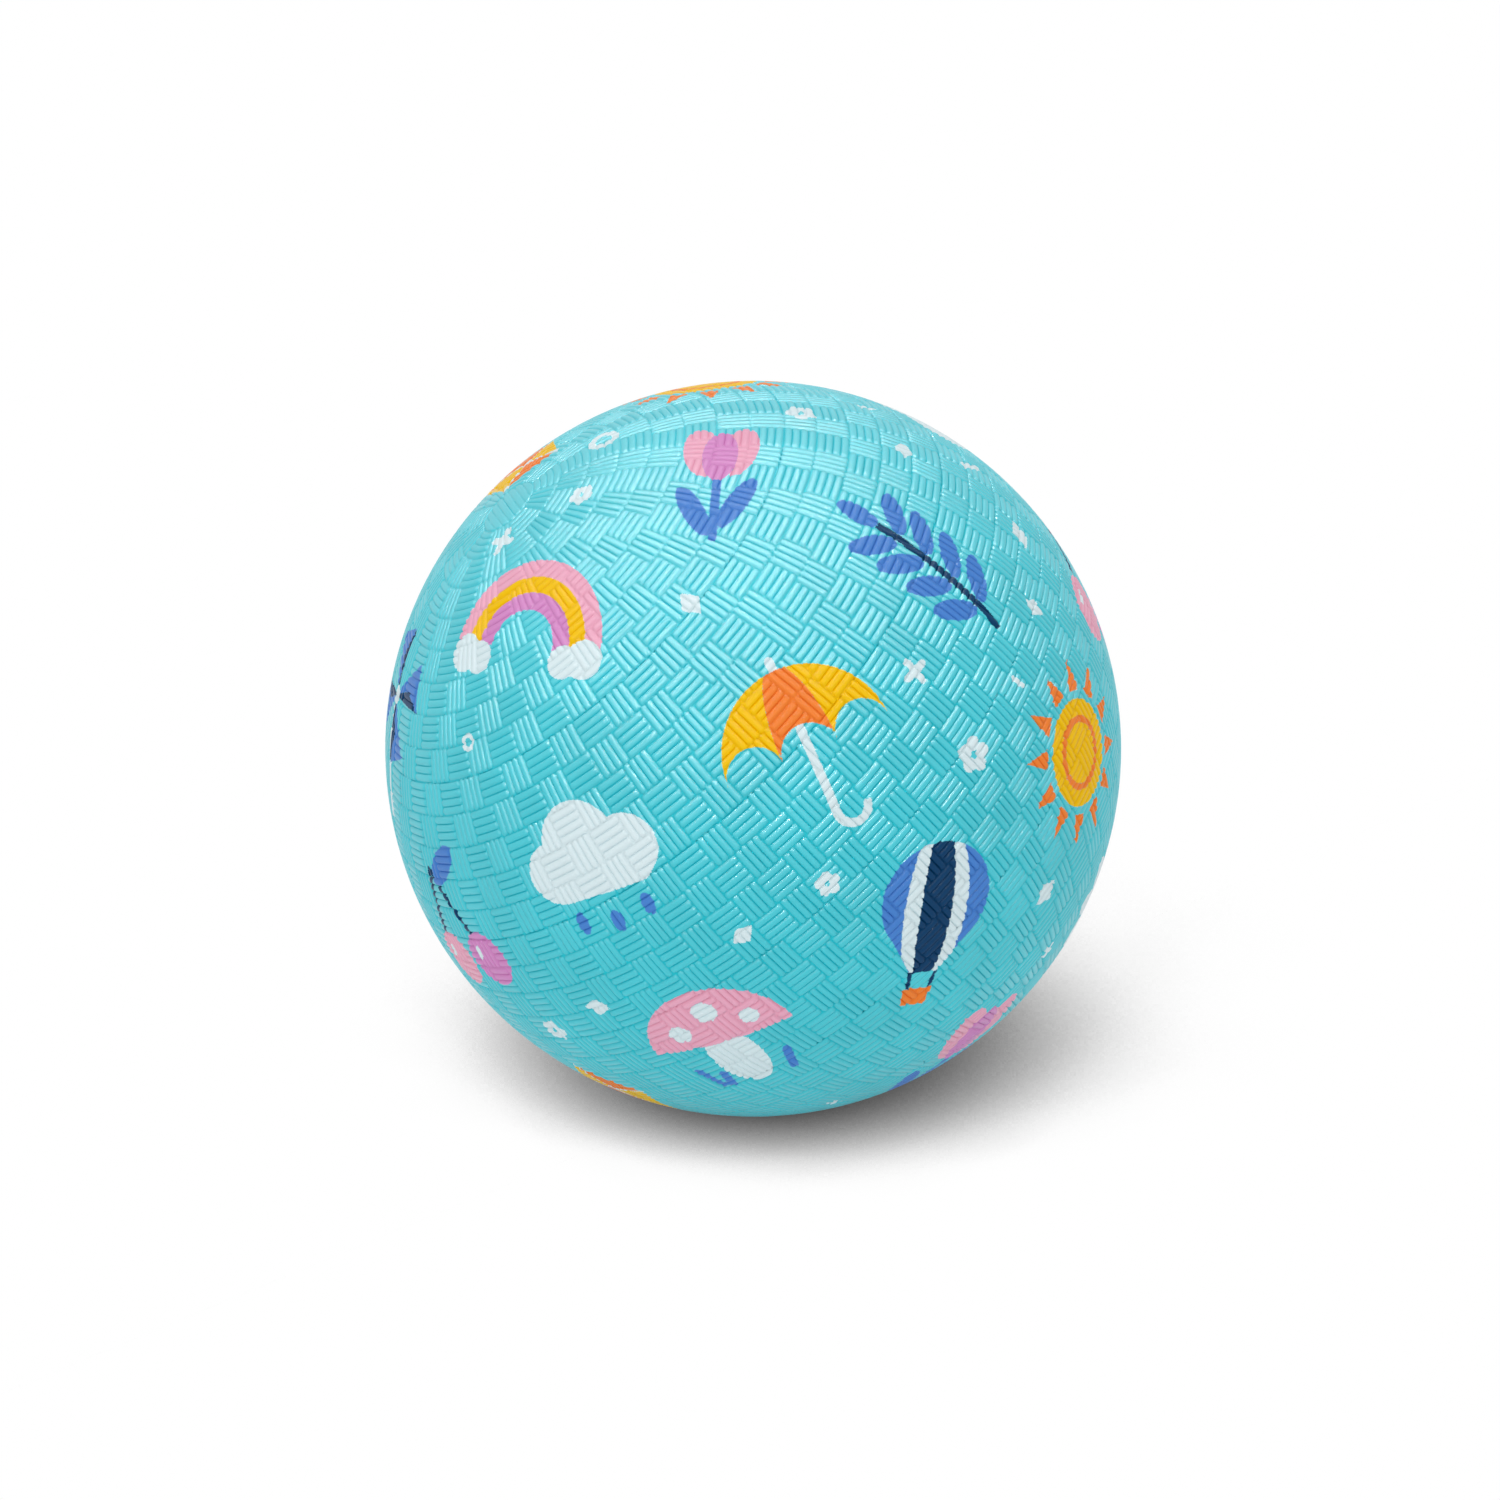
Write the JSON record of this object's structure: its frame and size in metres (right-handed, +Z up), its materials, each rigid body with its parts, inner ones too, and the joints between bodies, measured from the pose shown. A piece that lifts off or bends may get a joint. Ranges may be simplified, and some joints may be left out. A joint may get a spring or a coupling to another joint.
{
  "type": "rubber play ball",
  "caption": "Inflatable moulded rubber play ball with a basket weave grip, two cover halves, a thread winding, a bladder and a needle valve with a pull-out plug.",
  "frame": {"origin": "centre of the flat that the ball's weight presses on the floor", "axes": "+Z up; the picture looks along +Y from a little above, with +X to the right; the valve points down to the right and back"},
  "size_m": [0.1798, 0.1796, 0.1796],
  "materials": {
    "cover_rubber": "satin",
    "nylon_thread": "matte",
    "bladder_rubber": "matte",
    "valve_rubber": "matte"
  },
  "bodies": {
    "ball": {"cover_plain_half": "cover_rubber", "cover_valve_half": "cover_rubber", "nylon_winding": "nylon_thread", "bladder": "bladder_rubber", "valve_reinforcement": "bladder_rubber", "valve_housing": "valve_rubber"},
    "plug": {"valve_plug": "valve_rubber"}
  },
  "joints": [
    {"name": "plug_pull", "type": "slide", "parent": "ball", "child": "plug", "axis": [0.6475, 0.1687, -0.7431], "range_m": [0, 0.016]}
  ]
}
